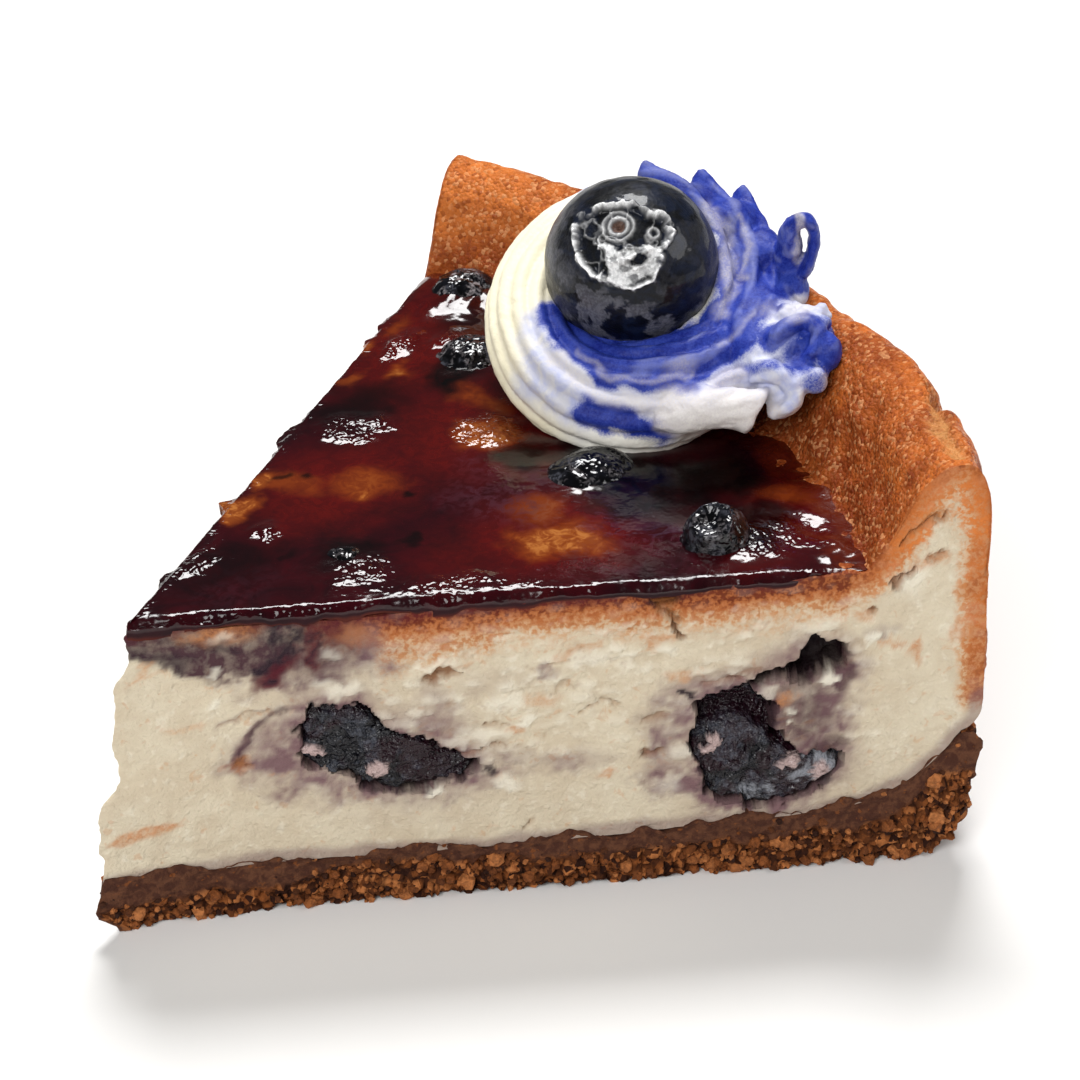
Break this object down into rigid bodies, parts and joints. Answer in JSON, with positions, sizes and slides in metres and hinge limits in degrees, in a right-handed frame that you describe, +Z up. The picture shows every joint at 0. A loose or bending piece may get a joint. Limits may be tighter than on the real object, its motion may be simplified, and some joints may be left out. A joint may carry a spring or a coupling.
{
  "type": "blueberry cheesecake slice",
  "caption": "Slice of baked blueberry cheesecake on a crumb crust, with a berry glaze, a browned rim, piped cream and a whole berry on top.",
  "frame": {"origin": "on the surface that the slice stands on, under the middle of its bounding box", "axes": "+Z up, +X from the point of the slice to its outer wall, +Y across it; the XZ plane halves the wedge"},
  "size_m": [0.09, 0.0914, 0.0628],
  "materials": {
    "crumb": "matt, coarse baked crumb",
    "filling": "matt, moist baked curd, browned on top and outside",
    "glaze": "wet, dark red fruit glaze",
    "cooked_berry": "wet, dark, wrinkled skin",
    "cream": "satin whipped cream, tinted blue on one side",
    "fresh_berry": "smooth skin with a thin bloom, glazed"
  },
  "bodies": {
    "root": {"crumb_crust": "crumb", "cheese_filling": "filling", "blueberry_glaze": "glaze", "glaze_blueberry_1": "cooked_berry", "glaze_blueberry_2": "cooked_berry", "glaze_blueberry_3": "cooked_berry", "glaze_blueberry_4": "cooked_berry", "glaze_blueberry_5": "cooked_berry", "baked_blueberry_1": "cooked_berry", "baked_blueberry_2": "cooked_berry", "baked_blueberry_3": "cooked_berry", "baked_blueberry_4": "cooked_berry", "cream_rosette": "cream", "garnish_blueberry": "fresh_berry"}
  },
  "joints": []
}
